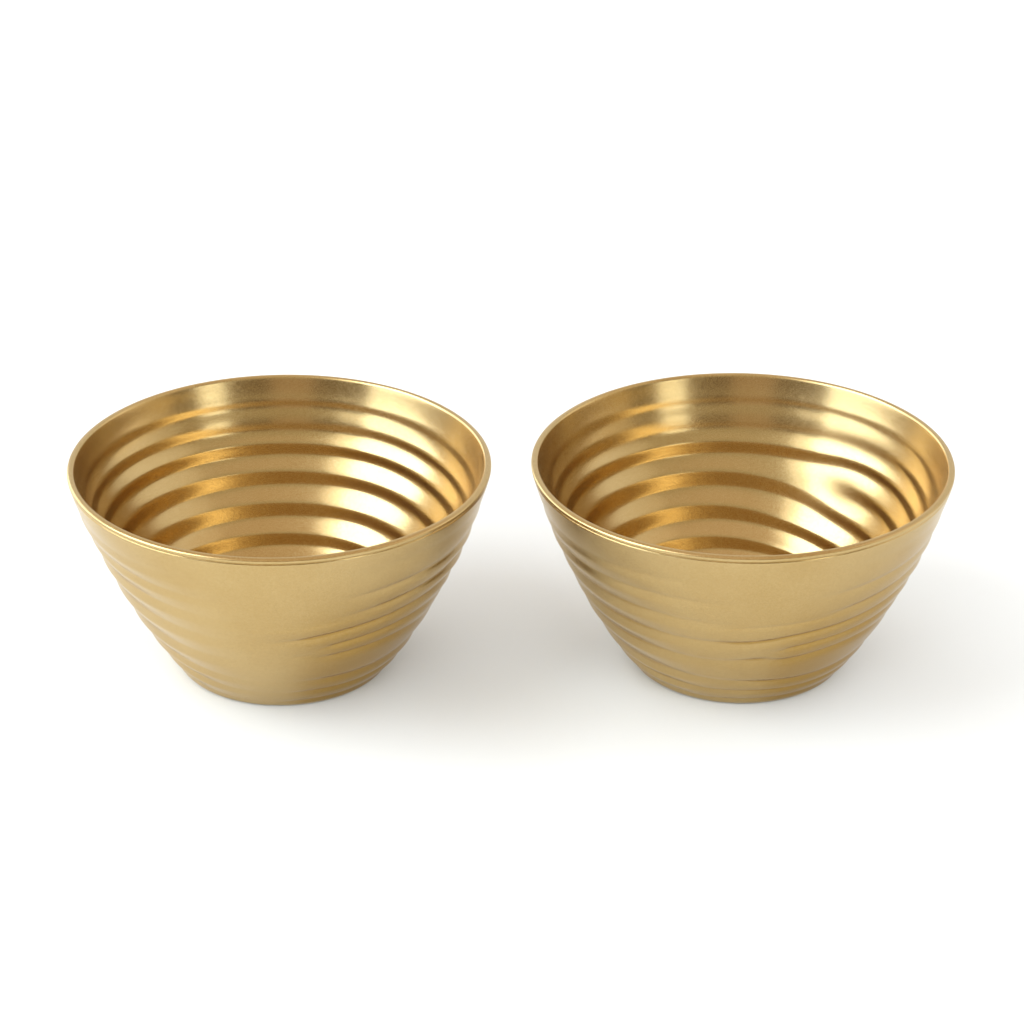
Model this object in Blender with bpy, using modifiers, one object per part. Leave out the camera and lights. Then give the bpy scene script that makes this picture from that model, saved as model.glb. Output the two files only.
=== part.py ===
"""A pair of cup-shaped finger cymbals, standing mouth up on their flat crowns.

Each cymbal is one piece of brass: a deep flared cup with a rounded lip, a wall pressed into rings of
ridges, and a flat crown with a small hole for a cord. Run it with blender --background --python
part.py. Lengths are in metres, +Z is up, +X runs along the pair, and the origin lies on the table
between the two cymbals.
"""

import math

import bpy
import numpy as np

MM = 0.001

# Size of one cymbal
LIP_DIAMETER = 60.0 * MM
HEIGHT = 31.3 * MM
FOOT_DIAMETER = 29.2 * MM
WALL = 1.05 * MM
CROWN_THICKNESS = 1.2 * MM
CORD_HOLE_DIAMETER = 4.0 * MM

# Sweep of the wall between foot and lip: how far it bellies out of the straight line between them,
# and how far below the middle of the wall that belly is fullest
BELLY = 1.7 * MM
BELLY_DROP = 1.0 * MM

# Rings pressed into the wall, shallow at the lip and full depth lower down
RIDGE_COUNT = 8
RIDGE_DEPTH = 0.25 * MM
RIDGE_FADE_AT_LIP = 12.0 * MM
RIDGE_FADE_AT_FOOT = 2.5 * MM
RIDGE_SPREAD = 0.216

# Rounded edges besides the lip, which is a full round as thick as the wall
FOOT_ROUND = 0.5 * MM
CROWN_CORNER = 2.2 * MM
HOLE_ROUND = 0.2 * MM

# Space between the two lips as the pair stands
LIP_GAP = 5.6 * MM

# Facets
SEGMENTS_ROUND = 36
POINTS_PER_RIDGE = 5
POINTS_PER_EDGE = 4
POINTS_PER_LIP = 8

BRASS_COLOUR = (0.50, 0.36, 0.17, 1.0)
BRASS_ROUGHNESS = 0.32


def clear_scene():
    for obj in list(bpy.data.objects):
        bpy.data.objects.remove(obj)


def lip_centre():
    """Centre of the lip's round, as (radius, height)."""
    return np.array([(LIP_DIAMETER - WALL) / 2, HEIGHT - WALL / 2])


def wall_pull():
    """The point that draws the outer wall out of the straight line from foot to lip."""
    foot = np.array([FOOT_DIAMETER / 2, 0.0])
    lip = np.array([LIP_DIAMETER / 2, HEIGHT])
    along = (lip - foot) / np.linalg.norm(lip - foot)
    outwards = np.array([along[1], -along[0]])
    return (foot + lip) / 2 + 2 * (outwards * BELLY - along * BELLY_DROP)


def lip_lean():
    """How far the outer wall leans out of upright where it runs into the lip's round."""
    across = lip_centre() - wall_pull()
    return math.atan2(across[0], across[1]) + math.asin(WALL / 2 / np.linalg.norm(across))


def lip_round():
    """The lip's half circle, from the inner face over the top to the outer face."""
    turn = np.linspace(math.pi, 0, POINTS_PER_LIP) - lip_lean()
    return lip_centre() + WALL / 2 * np.column_stack([np.cos(turn), np.sin(turn)])


def smooth_wall(share):
    """Points and outward normals of the plain outer wall, as (radius, height) rows.

    share runs from 0 at the foot to 1 where the wall touches the lip's round. The wall is one
    quadratic curve.
    """
    foot = np.array([FOOT_DIAMETER / 2, 0.0])
    pull = wall_pull()
    top = lip_round()[-1]
    s = np.asarray(share)[:, None]
    points = (1 - s) ** 2 * foot + 2 * s * (1 - s) * pull + s**2 * top
    tangents = 2 * (1 - s) * (pull - foot) + 2 * s * (top - pull)
    tangents /= np.linalg.norm(tangents, axis=1)[:, None]
    normals = np.column_stack([tangents[:, 1], -tangents[:, 0]])
    return points, normals


def ridge_offset(height):
    """How far the ridges push the wall out, or in, at a height above the table.

    The ridges widen towards the foot: the one that is n down from the lip starts at a depth of
    (1 - spread) n / count + spread (n / count) squared, as a share of the height.
    """
    depth = HEIGHT - height
    plain = 1 - RIDGE_SPREAD
    root = np.sqrt(plain**2 + 4 * RIDGE_SPREAD * np.clip(depth / HEIGHT, 0, 1))
    ridges_down = RIDGE_COUNT * (root - plain) / (2 * RIDGE_SPREAD)
    fade_in = 1 - np.exp(-depth / RIDGE_FADE_AT_LIP)
    fade_out = 1 - np.exp(-np.maximum(height, 0) / RIDGE_FADE_AT_FOOT)
    return RIDGE_DEPTH * fade_in * fade_out * np.sin(2 * math.pi * ridges_down)


def rounded_corner(before, corner, after, radius):
    """A quadratic curve round a corner, starting and ending one radius from it."""
    before, corner, after = (np.asarray(p, float) for p in (before, corner, after))
    start = corner + (before - corner) * radius / np.linalg.norm(before - corner)
    end = corner + (after - corner) * radius / np.linalg.norm(after - corner)
    s = np.linspace(0, 1, POINTS_PER_EDGE)[:, None]
    return (1 - s) ** 2 * start + 2 * s * (1 - s) * corner + s**2 * end


def above(points, low):
    return points[points[:, 1] > low]


def cup_profile():
    """The closed outline of one side of the cup: over the lip, down, across the crown and up inside."""
    share = np.linspace(1, 0, RIDGE_COUNT * POINTS_PER_RIDGE + 1)[1:]
    points, normals = smooth_wall(share)
    swell = ridge_offset(points[:, 1])[:, None]
    outer = above(points + normals * swell, 2 * FOOT_ROUND)
    inner = above(points + normals * (swell - WALL), CROWN_THICKNESS + CROWN_CORNER)

    foot_edge = np.array([FOOT_DIAMETER / 2, 0.0])
    hole = CORD_HOLE_DIAMETER / 2
    hole_under = np.array([hole, 0.0])
    hole_over = np.array([hole, CROWN_THICKNESS])

    # The inside wall runs on straight to the crown's top face, where the two meet in a round corner
    fall = inner[-1] - inner[-2]
    reach = (CROWN_THICKNESS - inner[-1][1]) / fall[1]
    crown_edge = inner[-1] + fall * reach

    return np.vstack([
        lip_round(),
        outer,
        rounded_corner(outer[-1], foot_edge, hole_under, FOOT_ROUND),
        rounded_corner(foot_edge, hole_under, hole_over, HOLE_ROUND),
        rounded_corner(hole_under, hole_over, crown_edge, HOLE_ROUND),
        rounded_corner(hole_over, crown_edge, inner[-1], CROWN_CORNER),
        inner[::-1],
    ])


def brass_material():
    material = bpy.data.materials.new("satin_brass")
    material.use_nodes = True
    shader = material.node_tree.nodes["Principled BSDF"]
    shader.inputs["Base Color"].default_value = BRASS_COLOUR
    shader.inputs["Metallic"].default_value = 1.0
    shader.inputs["Roughness"].default_value = BRASS_ROUGHNESS
    return material


def cup_mesh():
    """The cup's outline as a ring of edges in the XZ plane, ready to be turned round Z."""
    profile = cup_profile()
    count = len(profile)
    corners = [(radius, 0.0, height) for radius, height in profile]
    edges = [(i, (i + 1) % count) for i in range(count)]
    mesh = bpy.data.meshes.new("cup_outline")
    mesh.from_pydata(corners, edges, [])
    mesh.materials.append(brass_material())
    return mesh


def turned_cymbal(name, mesh, place_x, collection):
    """One cymbal, turned from the outline about its own upright axis."""
    cymbal = bpy.data.objects.new(name, mesh)
    cymbal.location = (place_x, 0.0, 0.0)
    collection.objects.link(cymbal)
    turn = cymbal.modifiers.new("turn", "SCREW")
    turn.axis = "Z"
    turn.angle = 2 * math.pi
    turn.steps = SEGMENTS_ROUND
    turn.render_steps = SEGMENTS_ROUND
    turn.use_merge_vertices = True
    turn.merge_threshold = 0.00001
    turn.use_smooth_shade = True
    return cymbal


def main():
    clear_scene()
    pair = bpy.data.collections.new("finger_cymbals")
    bpy.context.scene.collection.children.link(pair)
    mesh = cup_mesh()
    half_spacing = (LIP_DIAMETER + LIP_GAP) / 2
    turned_cymbal("left_cymbal", mesh, -half_spacing, pair)
    turned_cymbal("right_cymbal", mesh, half_spacing, pair)


main()
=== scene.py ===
# %% [markdown]
# # A pair of ridged brass finger cymbals
#
# Two deep cups stand mouth up on a white table. Each was formed from one piece of brass, and rings
# were pressed into its wall by hand, so no ring is quite level: they lean and drift, and here and
# there one starts or ends between two others. The measured model has the right sizes and plain level
# rings. This lesson dresses it: one fine surface for each cup, satin brass, and the light of a small
# photo studio.

# %% Open the measured frame
import math

import bpy
import numpy as np
from mathutils import Matrix, Vector


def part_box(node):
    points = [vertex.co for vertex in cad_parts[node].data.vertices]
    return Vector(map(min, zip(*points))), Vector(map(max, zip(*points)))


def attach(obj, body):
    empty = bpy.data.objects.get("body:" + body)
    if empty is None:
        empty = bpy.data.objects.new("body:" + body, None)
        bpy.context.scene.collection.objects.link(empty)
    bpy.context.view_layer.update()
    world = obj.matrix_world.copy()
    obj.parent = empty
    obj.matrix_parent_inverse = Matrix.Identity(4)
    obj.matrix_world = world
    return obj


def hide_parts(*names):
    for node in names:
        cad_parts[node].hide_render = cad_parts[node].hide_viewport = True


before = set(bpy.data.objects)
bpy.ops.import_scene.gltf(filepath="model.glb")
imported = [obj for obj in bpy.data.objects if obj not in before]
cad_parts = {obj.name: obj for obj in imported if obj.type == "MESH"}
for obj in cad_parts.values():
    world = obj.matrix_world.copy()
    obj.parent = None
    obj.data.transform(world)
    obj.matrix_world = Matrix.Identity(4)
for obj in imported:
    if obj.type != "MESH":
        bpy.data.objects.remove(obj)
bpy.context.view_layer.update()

print("nodes:", sorted(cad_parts))

# %% [markdown]
# Everything that follows hangs on a few sizes. They are read from the measured model, so the cups
# stay the right size if the model changes. A bearing says where a point lies round a cup: 0 degrees
# is the back, away from the camera, 90 is the right, 180 the front.

# %% Measure the cups
MM = 0.001
SIDES = ("left", "right")
cup_low, cup_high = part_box("left_cymbal")
LIP_RADIUS = (cup_high.x - cup_low.x) / 2
HEIGHT = cup_high.z
CENTRE_X = {side: sum(corner.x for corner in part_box(f"{side}_cymbal")) / 2 for side in SIDES}
print(f"lip radius {LIP_RADIUS / MM:.2f} mm, height {HEIGHT / MM:.2f} mm, centres {CENTRE_X}")

# %% [markdown]
# The wall is a cone that bellies out a little. A straight cone would look like a lampshade and a
# circular arc like a ball, so one quadratic curve is pulled outwards from the straight line. At its
# top it runs smoothly into the lip, which is as thick as the wall.

# %% The plain wall
FOOT = np.array([14.6 * MM, 0.0])
WALL = 1.05 * MM
BELLY = 1.7 * MM
BELLY_DROP = 1.0 * MM
LIP_CENTRE = np.array([LIP_RADIUS - WALL / 2, HEIGHT - WALL / 2])


def wall_pull():
    """The point that pulls the wall out: midway from foot to lip, plus twice the belly and its drop."""
    lip = np.array([LIP_RADIUS, HEIGHT])
    along = (lip - FOOT) / np.linalg.norm(lip - FOOT)
    outwards = np.array([along[1], -along[0]])
    return (FOOT + lip) / 2 + 2 * (outwards * BELLY - along * BELLY_DROP)


def lip_lean():
    """The lean, from upright, of the line from the pull that just touches a circle as wide as the wall.

    The circle lies about the lip's centre, and the line touches it on the outside.
    """
    across = LIP_CENTRE - wall_pull()
    return math.atan2(across[0], across[1]) + math.asin(WALL / 2 / np.linalg.norm(across))


def plain_wall(share):
    """Points and outward normals of the wall's outer face, as rows of (radius, height).

    The curve is (1 - s)^2 foot + 2 s (1 - s) pull + s^2 top, with s from 0 at the foot to 1 where it
    touches the lip. The normal is the curve's direction turned a quarter outwards.
    """
    pull = wall_pull()
    top = LIP_CENTRE + WALL / 2 * np.array([math.cos(lip_lean()), -math.sin(lip_lean())])
    s = np.asarray(share)[:, None]
    points = (1 - s) ** 2 * FOOT + 2 * s * (1 - s) * pull + s**2 * top
    tangents = 2 * (1 - s) * (pull - FOOT) + 2 * s * (top - pull)
    tangents /= np.linalg.norm(tangents, axis=1)[:, None]
    return points, np.column_stack([tangents[:, 1], -tangents[:, 0]])


print(f"at the lip the wall leans out {math.degrees(lip_lean()):.1f} degrees")

# %% [markdown]
# The rings could be a sine wave of height. On the real cups they crowd together near the lip and
# near the foot, so a slow wave is added to the count of rings above each depth.

# %% How the rings are spaced
RING_COUNT = 9.5
RING_CROWDING = 0.35
RING_START = 0.1


def rings_above(depth):
    """How many rings lie above a depth below the lip.

    With x = depth / height: count x + crowding sin(2 pi x) - start.
    """
    x = depth / HEIGHT
    return RING_COUNT * x + RING_CROWDING * np.sin(2 * np.pi * x) - RING_START


print(f"{rings_above(HEIGHT):.1f} rings from lip to foot")

# %% [markdown]
# A hand-pressed ring rides lower at the front of the cup than at the back, and dips or climbs here
# and there. Both are worked out as a lift, in metres, for each bearing and height. The broad lean
# is a soft-edged plateau over the back of the cup. Each nudge is a round hump in bearing and height.

# %% How the rings lean and drift
SINK = 0.65 * MM
LEAN = 1.95 * MM
LEAN_FADE = 7.0 * MM
# Bearing of the highest part, half its width and the softness of its edge
PLATEAU = {"left": (-30, 80, 0.5), "right": (-5, 78, 0.3)}
# Bearing and width in degrees, then height, reach and rise in millimetres
NUDGES = {
    "left": [
        (150, 32, 19, 7, -2.1),
        (148, 26, 11, 3, 1.9),
        (190, 30, 14, 4, -0.6),
        (190, 30, 9, 4, -0.8),
        (150, 40, 6, 3, -1.3),
        (125, 20, 16, 5, 0.8),
    ],
    "right": [
        (152, 32, 18, 7, -2.6),
        (145, 26, 11, 3, 1.8),
        (185, 22, 11, 3.5, -1.2),
        (160, 50, 6, 3, -2.0),
        (-150, 40, 16, 4.5, -0.8),
        (125, 20, 16, 5, 0.6),
        (28, 18, 13, 7, -1.1),
    ],
}


def smooth_step(t):
    """0 below 0, 1 above 1, and 3 t^2 - 2 t^3 between."""
    t = np.clip(t, 0, 1)
    return t * t * (3 - 2 * t)


def plateau(bearing, centre, half_width, softness):
    """1 on one side of the cup and 0 on the other: (1 + tanh((cos(b - c) - cos(half)) / softness)) / 2."""
    away = np.cos(bearing - np.radians(centre))
    return 0.5 * (1 + np.tanh((away - np.cos(np.radians(half_width))) / softness))


def ring_lift(side, bearing, height):
    """How far the rings ride above their level place.

    All rings sink a little. The lean is LEAN (plateau - 1), faded out towards the lip, and each nudge
    adds rise exp((cos(b - centre) - 1) / width^2) exp(-((z - height) / reach)^2).
    """
    lift = LEAN * (plateau(bearing, *PLATEAU[side]) - 1) * smooth_step((HEIGHT - height) / LEAN_FADE)
    lift = lift - SINK
    for centre, width, level, reach, rise in NUDGES[side]:
        round_cup = (np.cos(bearing - math.radians(centre)) - 1) / math.radians(width) ** 2
        up_wall = -(((height - level * MM) / (reach * MM)) ** 2)
        lift = lift + rise * MM * np.exp(round_cup + up_wall)
    return lift


front = ring_lift("left", math.pi, HEIGHT / 2)
print(f"halfway up the left cup the rings ride {-front / MM:.1f} mm lower at the front than level")

# %% [markdown]
# Here and there a new ring starts between two others, and ends again further round. A ring that
# starts is a dislocation: walk once round its tip and the count of rings changes by one. The angle
# of a complex number does just that, and the sine of half a complex bearing makes it close up
# after a full turn. The two tips have opposite signs, so away from them the rings join again.

# %% Where a ring starts and ends
SPLIT_REACH = 22.0 * MM
SPLIT_SOFT = 0.45
# For each extra ring, the tip where it ends and the tip where it starts, counted with the bearings:
# bearing in degrees and height in millimetres, then how far round and up the wall lies calm about it
SPLITS = {
    "left": [((105, 13.0, 8.0, 3.5), (164, 12.6, 2.5, 1.2))],
    "right": [
        ((38, 17.3, 8.0, 3.5), (-95, 16.5, 8.0, 3.5)),
        ((105, 13.0, 8.0, 3.5), (170, 12.2, 2.5, 1.2)),
    ],
}


def split(bearing, height, tip):
    """Turns round the tip of a ring: the angle of sin(w / 2) over 2 pi, w = bearing + i height / reach."""
    w = bearing - math.radians(tip[0]) + 1j * (height - tip[1] * MM) / SPLIT_REACH
    return np.angle(np.sin(w / 2)) / (2 * np.pi)


def ring_count(side, bearing, height):
    """Rings above a point of the wall, with their lift and the rings that start and end.

    Half a ring is added between the two tips of each extra ring, with a soft edge.
    """
    count = rings_above(HEIGHT - height + ring_lift(side, bearing, height))
    for start, end in SPLITS[side]:
        middle = (start[0] + end[0]) / 2
        half_width = (start[0] - end[0]) / 2
        count = count - split(bearing, height, start) + split(bearing, height, end)
        count = count + 0.5 * plateau(bearing, middle, half_width, SPLIT_SOFT)
    return count


print("extra rings:", {side: len(SPLITS[side]) for side in SIDES})

# %% [markdown]
# The rings don't show equally all over the wall. They are shallow at the lip and in a faint patch at
# the back, die out at the foot and round the tip of a split, and are almost rubbed away over the
# front, where the cup is held. A mask could be painted by hand. Here each of these is a share from 0
# to 1 and the shares are multiplied, so that they can overlap and leave no edge.

# %% How strongly the rings show
FADE_AT_LIP = {"left": 7.2 * MM, "right": 8.2 * MM}
FADE_POWER = 2.5
FADE_AT_FOOT = 1.2 * MM
# Bearing, half the width and softness of the part where the top rings are faint, its height and
# reach up the wall, and how faint they are there
FAINT_PART = {"left": (-5, 38, 0.2), "right": (8, 52, 0.2)}
FAINT_HEIGHT = 24.6 * MM
FAINT_REACH = 1.6 * MM
FAINT = 0.9
# Bearings of the right and left side of the calm front above the step, and how soft they are
CALM_SIDES = {"left": (140, 242), "right": (140, 228)}
CALM_SOFT = (24, 56)
# Below the step its right side lies further round, most at the step and the foot
CALM_TOP = 19.0 * MM
CALM_STEP = 2.0 * MM
CALM_LOW_SIDE = {"left": 152, "right": 172}
CALM_BEND = 18
CALM_BEND_HEIGHT = 8.0 * MM
CALM_BEND_REACH = 9.0 * MM
# Share of the rings that is rubbed away above and below the step
CALM = {"left": (0.94, 0.95), "right": (0.96, 0.88)}


def tip_calm(bearing, height, tip):
    """0 at the tip of a split ring and 1 away from it: 1 - exp(-(across / width)^2 - (up / reach)^2)."""
    place, level, width, reach = tip
    across = np.sin((bearing - math.radians(place)) / 2) * 2 * LIP_RADIUS
    return 1 - np.exp(-((across / (width * MM)) ** 2) - ((height / MM - level) / reach) ** 2)


def front_calm(side, bearing, height):
    """The share of the rings that is rubbed away: high over the front, with a soft step at each side.

    Below the step the right side lies at low + bend ((z - height) / reach)^2 degrees.
    """
    low = smooth_step((CALM_TOP - height) / CALM_STEP)
    high_side, last = CALM_SIDES[side]
    bend = CALM_BEND * ((height - CALM_BEND_HEIGHT) / CALM_BEND_REACH) ** 2
    low_side = CALM_LOW_SIDE[side] + bend
    first = high_side + (low_side - high_side) * low
    turn = np.degrees(bearing) % 360
    front = smooth_step((turn - first) / CALM_SOFT[0]) * smooth_step((last - turn) / CALM_SOFT[1])
    above, below = CALM[side]
    return front * (above + (below - above) * low)


def depth_share(side, height):
    """How far a point lies below the lip, over the depth in which the rings gain their strength."""
    return np.maximum(HEIGHT - height, 0) / FADE_AT_LIP[side]


def ring_fade(side, bearing, height):
    """How strongly the rings show, from 0 to 1.

    Multiplied are 1 - exp(-share^power) at the lip, 1 - exp(-height / fade) at the foot,
    1 - faint exp(-((z - height) / reach)^2) plateau in the faint patch, 1 - the calm of the front,
    and the calm round each tip.
    """
    fade = 1 - np.exp(-(depth_share(side, height) ** FADE_POWER))
    fade = fade * (1 - np.exp(-height / FADE_AT_FOOT))
    faint = np.exp(-(((height - FAINT_HEIGHT) / FAINT_REACH) ** 2)) * plateau(bearing, *FAINT_PART[side])
    fade = fade * (1 - FAINT * faint)
    fade = fade * (1 - front_calm(side, bearing, height))
    for start, end in SPLITS[side]:
        fade = fade * tip_calm(bearing, height, start) * tip_calm(bearing, height, end)
    return fade


for place, bearing in (("back", 0.0), ("front", math.pi)):
    print(f"halfway up the left cup's {place} the rings show {ring_fade('left', bearing, HEIGHT / 2):.0%}")

# %% [markdown]
# Each ring swells outwards as a broad round bulge, and two bulges meet in a narrow crease. A sine
# has creases as broad as its bulges. The root of sin squared plus a little has narrow ones, and the
# little sets how tight they are. At the front right the rings were pressed so hard that on the
# outside each laps over the next.

# %% The shape of a ring
RING_DEPTH = 0.23 * MM
CREASE = 0.18
FLANK = 0.97
# Share of a ring that lies below its crease and above its fullest line, low down and at the lip
UPPER_FLANK = 0.45
UPPER_FLANK_AT_LIP = 0.33
# Bearing, half the width and softness of the part where that share is smaller, and by how much
STEEP_PART = (48, 32, 0.15)
STEEP = 0.13
# Bearing, half the width and softness of the part where each ring laps over the next, how soon it
# draws in above its crease and swells again below, how deep the laps are beside the rings elsewhere,
# and how far the wall there is drawn in
LAP_PART = {"left": (152, 34, 0.12), "right": (160, 46, 0.12)}
LAP_ABOVE = 0.35
LAP_BELOW = 0.9
LAP_DEPTH = 0.65
LAP_LEVEL = 0.5


def ring_place(side, bearing, height):
    """Where a point lies in its ring: 0 and 1 at the creases, and a half at the fullest line.

    It is the part of the ring count behind its point, stretched on each side of the fullest line.
    """
    u = ring_count(side, bearing, height) % 1.0
    at_lip = np.exp(-(depth_share(side, height) ** 2))
    upper = UPPER_FLANK + (UPPER_FLANK_AT_LIP - UPPER_FLANK) * at_lip
    upper = upper - STEEP * plateau(bearing, *STEEP_PART)
    return np.where(u < upper, u / upper, 1 + (u - upper) / (1 - upper)) / 2


def ring_shape(u, lapped):
    """How far a ring swells, from 0 in its crease to 1 at its fullest line.

    With s = sin(pi u)^2, wave = (sqrt(s + tight^2) - tight) / (sqrt(1 + tight^2) - tight) and
    shape = arcsin(flank wave) / arcsin(flank), which straightens the flanks. Where one ring laps over
    the next the shape is (1 + lap^2) s / (s + lap^2), with a small lap above the crease and a large
    one below.
    """
    squared = np.sin(np.pi * u) ** 2
    wave = (np.sqrt(squared + CREASE**2) - CREASE) / (math.sqrt(1 + CREASE**2) - CREASE)
    shape = np.arcsin(FLANK * wave) / math.asin(FLANK)
    lap = np.where(u < 0.5, LAP_BELOW, LAP_ABOVE) ** 2
    return shape + ((1 + lap) * squared / (squared + lap) - shape) * lapped


def ring_push(side, bearing, height, outside):
    """How far the rings push the wall outwards, in metres, their shape from 0 to 1, and their fade.

    The push is depth fade (2 shape - 1). Rings lap on the outside only, where outside is 1. There the
    depth is smaller and the wall is drawn in.
    """
    lapped = plateau(bearing, *LAP_PART[side]) * outside
    shape = ring_shape(ring_place(side, bearing, height), lapped)
    fade = ring_fade(side, bearing, height)
    ring_depth = RING_DEPTH * (1 + (LAP_DEPTH - 1) * lapped)
    return ring_depth * fade * (2 * shape - 1 - LAP_LEVEL * lapped), shape, fade


wall = np.linspace(0, HEIGHT, 400)
swell = ring_push("left", 0.0, wall, 0.0)[0]
print(f"at the left cup's back the rings push from {swell.min() / MM:.2f} to {swell.max() / MM:.2f} mm")

# %% [markdown]
# One closed outline goes over the lip, down the outside, under the crown, up through the cord hole,
# across the crown and up the inside. Half a circle would spread the light over the whole lip, so the
# lip is a rounded square end, which keeps its highlight thin. The corners are rounded as real ones
# are. Each row of the outline also says where it reads the ring pattern and how much of it it takes,
# so that both faces of the wall move together and the crown stays flat.

# %% The outline of a cup
CROWN = 1.2 * MM
HOLE_RADIUS = 2.0 * MM
FOOT_ROUND = 0.6 * MM
CROWN_CORNER = 2.2 * MM
HOLE_ROUND = 0.25 * MM
# How square the lip is, where 2 would be half a circle
LIP_SQUARE = 2.7
# Rows over the lip, down the outer wall, up the inner wall and round each corner
LIP_ROWS = 25
OUTER_ROWS = 315
INNER_ROWS = 115
CORNER_ROWS = 9
# Share of the way up the outer wall above which its rows lie closer, and how many there are
FINE_SHARE = 0.96
FINE_ROWS = 26


def rounded_corner(before, tip, after, reach):
    """The quadratic curve (1 - t)^2 a + 2 t (1 - t) tip + t^2 b, with a and b one reach from the tip."""
    before, tip, after = (np.asarray(p, float) for p in (before, tip, after))
    a = tip + (before - tip) * reach / np.linalg.norm(before - tip)
    b = tip + (after - tip) * reach / np.linalg.norm(after - tip)
    t = np.linspace(0, 1, CORNER_ROWS)[:, None]
    return (1 - t) ** 2 * a + 2 * t * (1 - t) * tip + t**2 * b


def lip_round():
    """A rounded square end about the lip's centre, from the inner face over the top to the outer face.

    Across and along the wall its points are cos(t)^(2 / n) and sin(t)^(2 / n) with the sign of the
    cosine, leaned over as the wall is and cut off level at the cup's height and width.
    """
    t = np.linspace(math.pi, 0, LIP_ROWS)[1:-1]
    across = np.sign(np.cos(t)) * np.abs(np.cos(t)) ** (2 / LIP_SQUARE)
    along = np.sin(t) ** (2 / LIP_SQUARE)
    lean = lip_lean()
    out = across * math.cos(lean) + along * math.sin(lean)
    up = along * math.cos(lean) - across * math.sin(lean)
    return np.minimum(LIP_CENTRE + WALL / 2 * np.column_stack([out, up]), [LIP_RADIUS, HEIGHT])


def wall_rows(share, inset):
    """Rows of the wall, moved in by inset: radius, height, normal, ring height, ring weight, face.

    Face is 1 on the outside and -1 on the inside.
    """
    points, normals = plain_wall(share)
    places = points - normals * inset
    weight = np.ones(len(points))
    face = weight if inset == 0 else -weight
    return np.column_stack([places, normals, points[:, 1], weight, face])


def plain_rows(points):
    """Rows that take no rings."""
    return np.column_stack([points, np.zeros((len(points), 5))])


def cup_outline():
    """All rows of the closed outline, from the lip down and round to the top of the inside."""
    near_lip = np.linspace(1, FINE_SHARE, FINE_ROWS, endpoint=False)
    outer = wall_rows(np.append(near_lip, np.linspace(FINE_SHARE, 0, OUTER_ROWS)), 0.0)
    inner = wall_rows(np.linspace(0, 1, INNER_ROWS), WALL)
    outer = outer[outer[:, 1] > FOOT_ROUND]
    inner = inner[inner[:, 1] > CROWN + CROWN_CORNER]
    inner[:, 5] = smooth_step((inner[:, 1] - inner[0, 1]) / (2 * CROWN_CORNER))

    hole_under = [HOLE_RADIUS, 0.0]
    hole_over = [HOLE_RADIUS, CROWN]
    fall = inner[0, :2] - inner[1, :2]
    crown_edge = inner[0, :2] + fall * (CROWN - inner[0, 1]) / fall[1]
    return np.vstack([
        plain_rows(lip_round()),
        outer,
        plain_rows(rounded_corner(outer[-1, :2], FOOT, hole_under, FOOT_ROUND)),
        plain_rows(rounded_corner(FOOT, hole_under, hole_over, HOLE_ROUND)),
        plain_rows(rounded_corner(hole_under, hole_over, crown_edge, HOLE_ROUND)),
        plain_rows(rounded_corner(hole_over, crown_edge, inner[0, :2], CROWN_CORNER)),
        inner,
    ])


outline = cup_outline()
print(f"{len(outline)} rows in the outline")

# %% [markdown]
# Small marks tell a worked cup from a plain sweep: a fine line turned round the outside under the
# lip and a side that is pressed a little flat. These two move the wall. The colour is also darkened
# in the creases, and painted shade darkens the fine line and the side turned away from the light.
# This darkening is kept at each point for the finish.

# %% Marks and painted shade on the outside
# The fine line: how far under the lip it runs, how wide and how deep it is
LIP_LINE_BELOW = 0.82 * MM
LIP_LINE_WIDTH = 0.12 * MM
LIP_LINE_DEPTH = 0.15 * MM
# Bearing, half the width and softness of the flat side, how far it is pressed in, the heights where
# that starts and ends, and how softly it does
FLAT_PART = (-100, 50, 0.25)
FLAT_DEPTH = {"left": 0.42 * MM, "right": 0.0}
FLAT_FROM = -1.0 * MM
FLAT_TO = 27.0 * MM
FLAT_STEP = 6.0 * MM
# How far from the bottom of a crease the colour is darkened, and how dark it is made there and, as painted
# shade, in the line
CREASE_FLOOR = 0.3
CREASE_DARKENING = 0.75
# Bearing, half the width and softness of the side turned away from the light, which gets painted shade,
# the height where that starts and how far down it grows, and how dark it is
SHADED_SIDE_PART = (118, 52, 0.12)
SHADED_SIDE_TOP = 29.0 * MM
SHADED_SIDE_REACH = 22.0 * MM
SHADED_SIDE_DARKENING = 0.9


def lip_line(height):
    """The line under the lip, from 0 to 1: exp(-((z - height of the line) / width)^2)."""
    return np.exp(-(((HEIGHT - height - LIP_LINE_BELOW) / LIP_LINE_WIDTH) ** 2))


def flat_side(side, bearing, height):
    """How far the wall is pressed in: depth times the plateau times a soft step at foot and lip."""
    over_foot = smooth_step((height - FLAT_FROM) / FLAT_STEP)
    under_lip = smooth_step((FLAT_TO - height) / FLAT_STEP)
    return FLAT_DEPTH[side] * plateau(bearing, *FLAT_PART) * over_foot * under_lip


def darkened_creases_and_shade(bearing, height, crease):
    """How dark the outside's colour is made, from 0 to 1: in the creases, and as painted shade in the
    line under the lip and low down on the side turned away from the light.

    A crease counts by 1 - (1 - crease) / floor, and the shaded side by its plateau times a soft step.
    """
    deep = np.clip(1 - (1 - crease) / CREASE_FLOOR, 0, 1)
    low = smooth_step((SHADED_SIDE_TOP - height) / SHADED_SIDE_REACH)
    shaded_side = plateau(bearing, *SHADED_SIDE_PART) * low
    return np.clip(CREASE_DARKENING * deep + SHADED_SIDE_DARKENING * shaded_side, 0, 1)


for side in SIDES:
    pressed = flat_side(side, math.radians(FLAT_PART[0]), HEIGHT / 2)
    print(f"the {side} cup's left side is pressed in {pressed / MM:.2f} mm")

# %% [markdown]
# The outline is now carried round the axis. A Screw modifier would make every ring level, so the
# points are worked out on a grid of rows and bearings instead, with the ring push added along the
# wall's normal and the marks taken off in the same way. The grid closes on itself both ways, so the
# cup has no seam and no open edge.

# %% Turn the outline into cups
BEARINGS = 192


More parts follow.
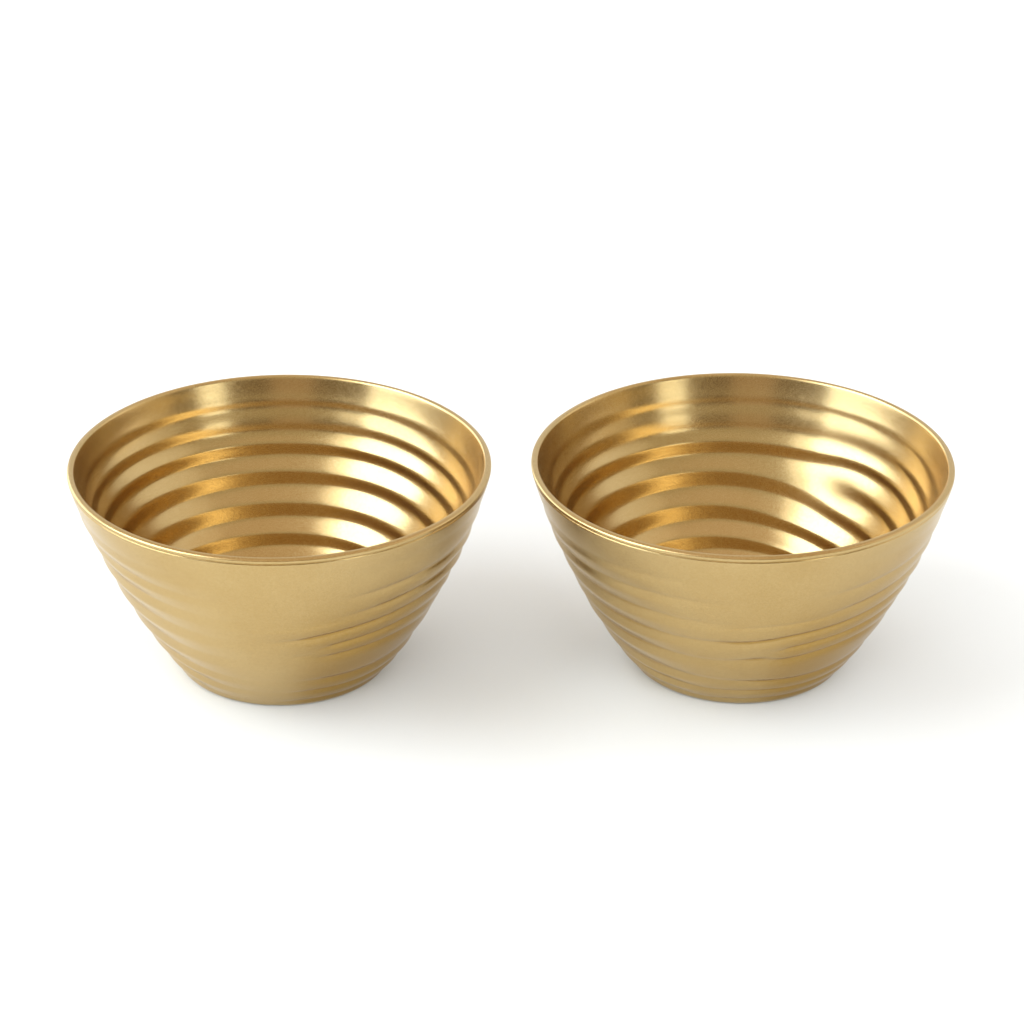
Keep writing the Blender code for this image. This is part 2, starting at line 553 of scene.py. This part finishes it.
def cup_points(side):
    """The grid of points of one cup, and how much its colour is darkened at each, partly as painted shade.

    Radius and height are the outline's plus its normal times the push; then
    x = centre + radius sin(bearing) and y = radius cos(bearing).
    """
    bearing = np.linspace(-math.pi, math.pi, BEARINGS, endpoint=False)[None, :]
    radius, height, out, up, ring_height, weight, face = (column[:, None] for column in outline.T)
    outside = np.where(face > 0, 1.0, 0.0)
    line = lip_line(ring_height) * outside
    push, shape, fade = ring_push(side, bearing, ring_height, outside)
    push = push - LIP_LINE_DEPTH * line - flat_side(side, bearing, ring_height)
    # Darkened colour in the creases, and painted shade in the line under the lip and low on the side
    # turned away from the light
    darkening = outside * darkened_creases_and_shade(bearing, ring_height, np.maximum((1 - shape) * fade, line))
    radius = radius + out * weight * push
    height = height + up * weight * push
    x = CENTRE_X[side] + radius * np.sin(bearing)
    y = radius * np.cos(bearing)
    return np.stack([x, y, height + 0 * bearing], axis=-1), darkening


def cup_piece(side):
    """A mesh object from the grid, with the darkening of creases and the painted shade as a point
    attribute.
    """
    points, darkening = cup_points(side)
    index = np.arange(darkening.size).reshape(darkening.shape)
    beside = np.roll(index, -1, axis=1)
    below = np.roll(index, -1, axis=0)
    across = np.roll(beside, -1, axis=0)
    quads = np.stack([index, beside, across, below], axis=-1).reshape(-1, 4)
    mesh = bpy.data.meshes.new(f"{side}_ridged_cup")
    mesh.from_pydata(points.reshape(-1, 3), [], quads.tolist())
    mesh.attributes.new("creases_and_painted_shade", "FLOAT", "POINT").data.foreach_set("value", darkening.ravel())
    mesh.shade_smooth()
    piece = bpy.data.objects.new(f"{side}_ridged_cup", mesh)
    bpy.context.scene.collection.objects.link(piece)
    return piece


cups = {side: cup_piece(side) for side in SIDES}
for side, piece in cups.items():
    print(piece.name, len(piece.data.polygons), "quads")

# %% [markdown]
# A finish in Blender is a tree of nodes joined by links, which could be drawn by hand in the shader
# editor. Written out, the same few steps come back again and again, so each gets a small helper.

# %% Helpers for node trees
# Places of the colour sockets on a Mix node
MIX_SHARE = 0
MIX_FIRST = 6
MIX_SECOND = 7
MIX_RESULT = 2


def add_node(tree, kind, **settings):
    """A new node, with its settings and, for names that are sockets, their values."""
    node = tree.nodes.new(kind)
    for name, value in settings.items():
        if hasattr(node, name):
            setattr(node, name, value)
        else:
            node.inputs[name].default_value = value
    return node


def noise(tree, place, scale, detail, roughness=0.5):
    """A noise of the coordinates in place, from 0 to 1."""
    node = add_node(tree, "ShaderNodeTexNoise", Scale=scale, Detail=detail, Roughness=roughness)
    tree.links.new(place, node.inputs["Vector"])
    return node.outputs["Fac"]


def carried(tree, value, span, low=0.0, high=1.0, curve="LINEAR"):
    """A value, carried from a span to the range from low to high and held at its ends."""
    node = add_node(tree, "ShaderNodeMapRange", interpolation_type=curve)
    limits = {"From Min": span[0], "From Max": span[1], "To Min": low, "To Max": high}
    for name, limit in limits.items():
        node.inputs[name].default_value = limit
    tree.links.new(value, node.inputs["Value"])
    return node.outputs["Result"]


def combined(tree, operation, first, second, clamp=False):
    """Two values added or multiplied, and held between 0 and 1 where clamp is true."""
    node = add_node(tree, "ShaderNodeMath", operation=operation, use_clamp=clamp)
    tree.links.new(first, node.inputs[0])
    tree.links.new(second, node.inputs[1])
    return node.outputs[0]


def mixed(tree, share, first, second):
    """Two colours mixed by a share. Each is a colour or another node's output."""
    node = add_node(tree, "ShaderNodeMix", data_type="RGBA")
    tree.links.new(share, node.inputs[MIX_SHARE])
    for socket, colour in ((MIX_FIRST, first), (MIX_SECOND, second)):
        if isinstance(colour, tuple):
            node.inputs[socket].default_value = colour
        else:
            tree.links.new(colour, node.inputs[socket])
    return node.outputs[MIX_RESULT]


def bumped(tree, height, bump):
    """A bump node that tilts the surface by a height. Bump gives its strength and its depth."""
    node = add_node(tree, "ShaderNodeBump", Strength=bump[0], Distance=bump[1])
    tree.links.new(height, node.inputs["Height"])
    return node


print("helpers:", [helper.__name__ for helper in (add_node, noise, carried, combined, mixed, bumped)])

# %% [markdown]
# The finish is satin brass: bright metal that was brushed round the cup and handled since. Four
# noises of the object's own coordinates make it. One is squeezed in height, so that it forms fine
# brush lines round the cup, one is a slow cloud of tarnish, one speckles the colour, and one is a
# grain so fine that it only breaks up the shine. Where the creases are darkened and the shade is
# painted, the brass is browner than the rest.

# %% Satin brass
BRASS = (0.555, 0.40, 0.183, 1.0)
# The darker brass, for tarnish and speckle and for the darkened creases and painted shade
TARNISH_AND_SHADE_BRASS = (0.41, 0.255, 0.075, 1.0)
# How fine each noise is, how many finer layers it has, and how strong they are
BRUSH = (60.0, 4.0)
BRUSH_SQUEEZE = 40.0
CLOUD = (45.0, 8.0, 0.6)
SPECKLE = (3200.0, 2.0)
GRAIN = (26000.0, 2.0)
# Spans of the cloud and of the speckle that turn from bright to dull, and how dull they get
TARNISH_SPAN = (0.45, 0.75)
TARNISH_DULL = 0.35
SPECKLE_SPAN = (0.35, 0.65)
SPECKLE_DULL = 0.2
# Span of the grain that goes from polished to matt, and the roughness of both
GLOSS_SPAN = (0.50, 0.62)
POLISHED = 0.17
MATT = 0.46
# Strength and depth of the bumps
GRAIN_BUMP = (0.06, 0.05 * MM)
BRUSH_BUMP = (0.01, 0.10 * MM)


def satin_brass():
    """Bright brass that darkens by tarnish, speckle, and the attribute of darkened creases and painted
    shade.
    """
    material = bpy.data.materials.new("satin_brass")
    material.use_nodes = True
    tree = material.node_tree
    shader = tree.nodes["Principled BSDF"]
    shader.inputs["Metallic"].default_value = 1.0

    place = add_node(tree, "ShaderNodeTexCoord").outputs["Object"]
    squeeze = add_node(tree, "ShaderNodeMapping", Scale=(1.0, 1.0, BRUSH_SQUEEZE))
    tree.links.new(place, squeeze.inputs["Vector"])
    grain = noise(tree, place, *GRAIN)

    tarnish = carried(tree, noise(tree, place, *CLOUD), TARNISH_SPAN, high=TARNISH_DULL)
    speckled = carried(tree, noise(tree, place, *SPECKLE), SPECKLE_SPAN, high=SPECKLE_DULL)
    patchy = combined(tree, "ADD", tarnish, speckled)
    # The attribute holds the darkened creases and the painted shade; tarnish and speckle are added to it
    creases_and_painted_shade = add_node(tree, "ShaderNodeAttribute", attribute_name="creases_and_painted_shade").outputs["Fac"]
    darkening = combined(tree, "ADD", creases_and_painted_shade, patchy, clamp=True)
    tree.links.new(mixed(tree, darkening, BRASS, TARNISH_AND_SHADE_BRASS), shader.inputs["Base Color"])

    gloss = carried(tree, grain, GLOSS_SPAN, POLISHED, MATT)
    tree.links.new(gloss, shader.inputs["Roughness"])

    grained = bumped(tree, grain, GRAIN_BUMP)
    brushed = bumped(tree, noise(tree, squeeze.outputs["Vector"], *BRUSH), BRUSH_BUMP)
    tree.links.new(grained.outputs["Normal"], brushed.inputs["Normal"])
    tree.links.new(brushed.outputs["Normal"], shader.inputs["Normal"])
    return material


brass = satin_brass()
for piece in cups.values():
    piece.data.materials.append(brass)
print(brass.name, "has", len(brass.node_tree.nodes), "nodes")

# %% [markdown]
# Each dressed cup takes the place of its plain one. It rides on the same body, so it lifts when the
# joint lifts.

# %% Put the dressed cups on the frame
for side, piece in cups.items():
    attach(piece, f"{side}_cymbal")
    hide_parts(f"{side}_cymbal")
print("dressed:", [piece.name for piece in cups.values()])

# %% [markdown]
# The table is a plain white sheet, large enough that its edge never shows. It is frosted and lit from
# below a little, as tables for small products are, so that shadows on it stay light.

# %% The table
TABLE_HALF = 3.0
TABLE_DROP = 0.02 * MM
TABLE_WHITE = (0.70, 0.72, 0.735, 1.0)
TABLE_GLOW = 0.07
TABLE_ROUGHNESS = 0.9
TABLE_SPECULAR = 0.1


def white_table():
    """A square sheet just under the cups, on the plane z = -drop."""
    corners = np.array([[-1, -1], [1, -1], [1, 1], [-1, 1]]) * TABLE_HALF
    mesh = bpy.data.meshes.new("white_table")
    mesh.from_pydata(np.column_stack([corners, np.full(4, -TABLE_DROP)]), [], [(0, 1, 2, 3)])
    paint = bpy.data.materials.new("table_white")
    paint.use_nodes = True
    shader = paint.node_tree.nodes["Principled BSDF"]
    shader.inputs["Base Color"].default_value = TABLE_WHITE
    shader.inputs["Roughness"].default_value = TABLE_ROUGHNESS
    shader.inputs["Specular IOR Level"].default_value = TABLE_SPECULAR
    shader.inputs["Emission Color"].default_value = TABLE_WHITE
    shader.inputs["Emission Strength"].default_value = TABLE_GLOW
    mesh.materials.append(paint)
    table = bpy.data.objects.new("white_table", mesh)
    bpy.context.scene.collection.objects.link(table)
    return table


table = white_table()
print("table:", table.name)

# %% [markdown]
# Polished metal shows the room more than itself, so the light is laid out as panels seen from the
# cups, each by the bearings and heights it fills: a large soft box on the left, dimmer at its foot
# and its edge, a small panel low at the front right, and pale walls at the right and the back left.
# Four more panels only light the table. A panel's power is its brightness times pi times its area.
# Light bearings are counted from the camera, with plus to the right.

# %% Light panels
# Name: bearings from and to, elevations from and to in degrees, metres away, brightness, colour
PANELS = {
    "soft_box": (-103, -50, 18, 58, 1.1, 6.2, (0.72, 0.84, 1.0)),
    "soft_box_low": (-103, -52, 0.5, 18, 1.1, 4.0, (0.72, 0.84, 1.0)),
    "soft_edge": (-50, -36, 16, 56, 1.1, 2.0, (0.76, 0.86, 1.0)),
    "back_left": (-150, -103, 2, 32, 1.1, 2.3, (0.80, 0.88, 1.0)),
    "front_panel": (30, 46, 4, 17, 1.1, 3.0, (0.82, 0.92, 1.0)),
    "right_wall": (62, 118, 14, 58, 1.1, 0.25, (1.0, 1.0, 1.0)),
    "right_low": (64, 115, 1, 14, 1.1, 0.55, (1.0, 0.86, 0.58)),
    "low_front": (-20, 4, 2, 16, 1.1, 0.40, (1.0, 0.77, 0.58)),
    "left_fill": (-105, -45, 22, 66, 0.42, 4.0, (0.90, 0.96, 1.0)),
    "front_fill": (-44, 50, 20, 55, 1.1, 2.7, (0.84, 0.93, 1.0)),
    "right_fill": (70, 150, 25, 62, 1.1, 1.1, (0.84, 0.93, 1.0)),
    "back_fill": (-165, -110, 20, 60, 1.1, 1.6, (0.84, 0.93, 1.0)),
}
# Fills light the table and aren't mirrored in the metal; shines are seen only in the metal
FILLS = ("left_fill", "front_fill", "right_fill", "back_fill")
SHINES = ("soft_box", "soft_box_low", "soft_edge", "back_left")
CUPS_MIDDLE = Vector((0.0, 0.0, HEIGHT / 2))


def light_panel(name, bearing_from, bearing_to, low, high, away, brightness, colour):
    """An upright area light that fills those angles as seen from the cups, and faces them."""
    bearing = math.radians((bearing_from + bearing_to) / 2)
    bottom = away * math.tan(math.radians(low))
    top = away * math.tan(math.radians(high))
    towards = Vector((math.sin(bearing), -math.cos(bearing), 0.0))
    light = bpy.data.lights.new(name, "AREA")
    light.shape = "RECTANGLE"
    light.size = 2 * away * math.tan(math.radians(bearing_to - bearing_from) / 2)
    light.size_y = top - bottom
    light.energy = brightness * math.pi * light.size * light.size_y
    light.color = colour
    panel = bpy.data.objects.new(name, light)
    panel.location = CUPS_MIDDLE + towards * away
    panel.location.z += (top + bottom) / 2
    panel.rotation_euler = towards.to_track_quat("Z", "Y").to_euler()
    panel.visible_camera = False
    panel.visible_glossy = name not in FILLS
    panel.visible_diffuse = name not in SHINES
    bpy.context.scene.collection.objects.link(panel)
    return panel


for name, angles in PANELS.items():
    panel = light_panel(name, *angles)
    print(f"{name}: {panel.data.size:.2f} x {panel.data.size_y:.2f} m, {panel.data.energy:.1f} W")

# %% [markdown]
# The rest of the room is a soft light all round the table. It is white behind the cups, warm
# overhead, dimmer on the camera's side, and darkest low down there. The four tones are mixed by the
# direction that is looked in, so no wall has to be built.

# %% The room
BEHIND = (1.0, 1.0, 1.0, 1.0)
OVERHEAD = (0.86, 0.715, 0.57, 1.0)
CAMERA_SIDE = (0.66, 0.60, 0.46, 1.0)
LOW_CAMERA_SIDE = (0.19, 0.15, 0.115, 1.0)
# Spans of a direction's part along Y, and of its part upwards, over which one tone turns into another
FRONT_SPAN = (0.15, -0.55)
LOW_SPAN = (0.36, 0.16)
HIGH_SPAN = (0.50, 0.80)


def studio_room():
    """A world whose colour is mixed from four tones by direction."""
    world = bpy.data.worlds.new("studio_room")
    world.use_nodes = True
    tree = world.node_tree
    direction = add_node(tree, "ShaderNodeSeparateXYZ")
    tree.links.new(add_node(tree, "ShaderNodeTexCoord").outputs["Generated"], direction.inputs[0])
    front = carried(tree, direction.outputs["Y"], FRONT_SPAN, curve="SMOOTHSTEP")
    low = carried(tree, direction.outputs["Z"], LOW_SPAN, curve="SMOOTHSTEP")
    high = carried(tree, direction.outputs["Z"], HIGH_SPAN, curve="SMOOTHSTEP")

    sides = mixed(tree, front, BEHIND, CAMERA_SIDE)
    walls = mixed(tree, combined(tree, "MULTIPLY", front, low), sides, LOW_CAMERA_SIDE)
    room = mixed(tree, high, walls, OVERHEAD)
    tree.links.new(room, tree.nodes["Background"].inputs["Color"])
    bpy.context.scene.world = world
    return world


print("world:", studio_room().name)

# %% [markdown]
# The camera stands well back with a long lens, so the two cups are hardly foreshortened. Its place
# is given by the point it looks at, its distance, and how far it looks down and sideways.

# %% The camera
LENS = 148.73
SENSOR = 36.0
LOOK_DOWN = math.radians(26.748)
LOOK_RIGHT = math.radians(0.727)
TILT = math.radians(0.099)
DISTANCE = 602.6 * MM
LOOK_AT = Vector((0.12, 0.0, 23.316)) * MM


def photo_camera():
    """A camera whose axes are worked out from its pitch, yaw and tilt."""
    forward = Vector((
        math.sin(LOOK_RIGHT) * math.cos(LOOK_DOWN),
        math.cos(LOOK_RIGHT) * math.cos(LOOK_DOWN),
        -math.sin(LOOK_DOWN),
    ))
    level = Vector((math.cos(LOOK_RIGHT), -math.sin(LOOK_RIGHT), 0.0))
    upright = level.cross(forward)
    right = level * math.cos(TILT) + upright * math.sin(TILT)
    up = upright * math.cos(TILT) - level * math.sin(TILT)
    lens = bpy.data.cameras.new("photo_camera")
    lens.lens = LENS
    lens.sensor_width = SENSOR
    camera = bpy.data.objects.new("photo_camera", lens)
    axes = Matrix((right, up, -forward)).transposed().to_4x4()
    camera.matrix_world = Matrix.Translation(LOOK_AT - forward * DISTANCE) @ axes
    bpy.context.scene.collection.objects.link(camera)
    bpy.context.scene.camera = camera
    return camera


camera = photo_camera()
bpy.context.scene.view_settings.view_transform = "Standard"
print("camera at", [round(c, 4) for c in camera.location])
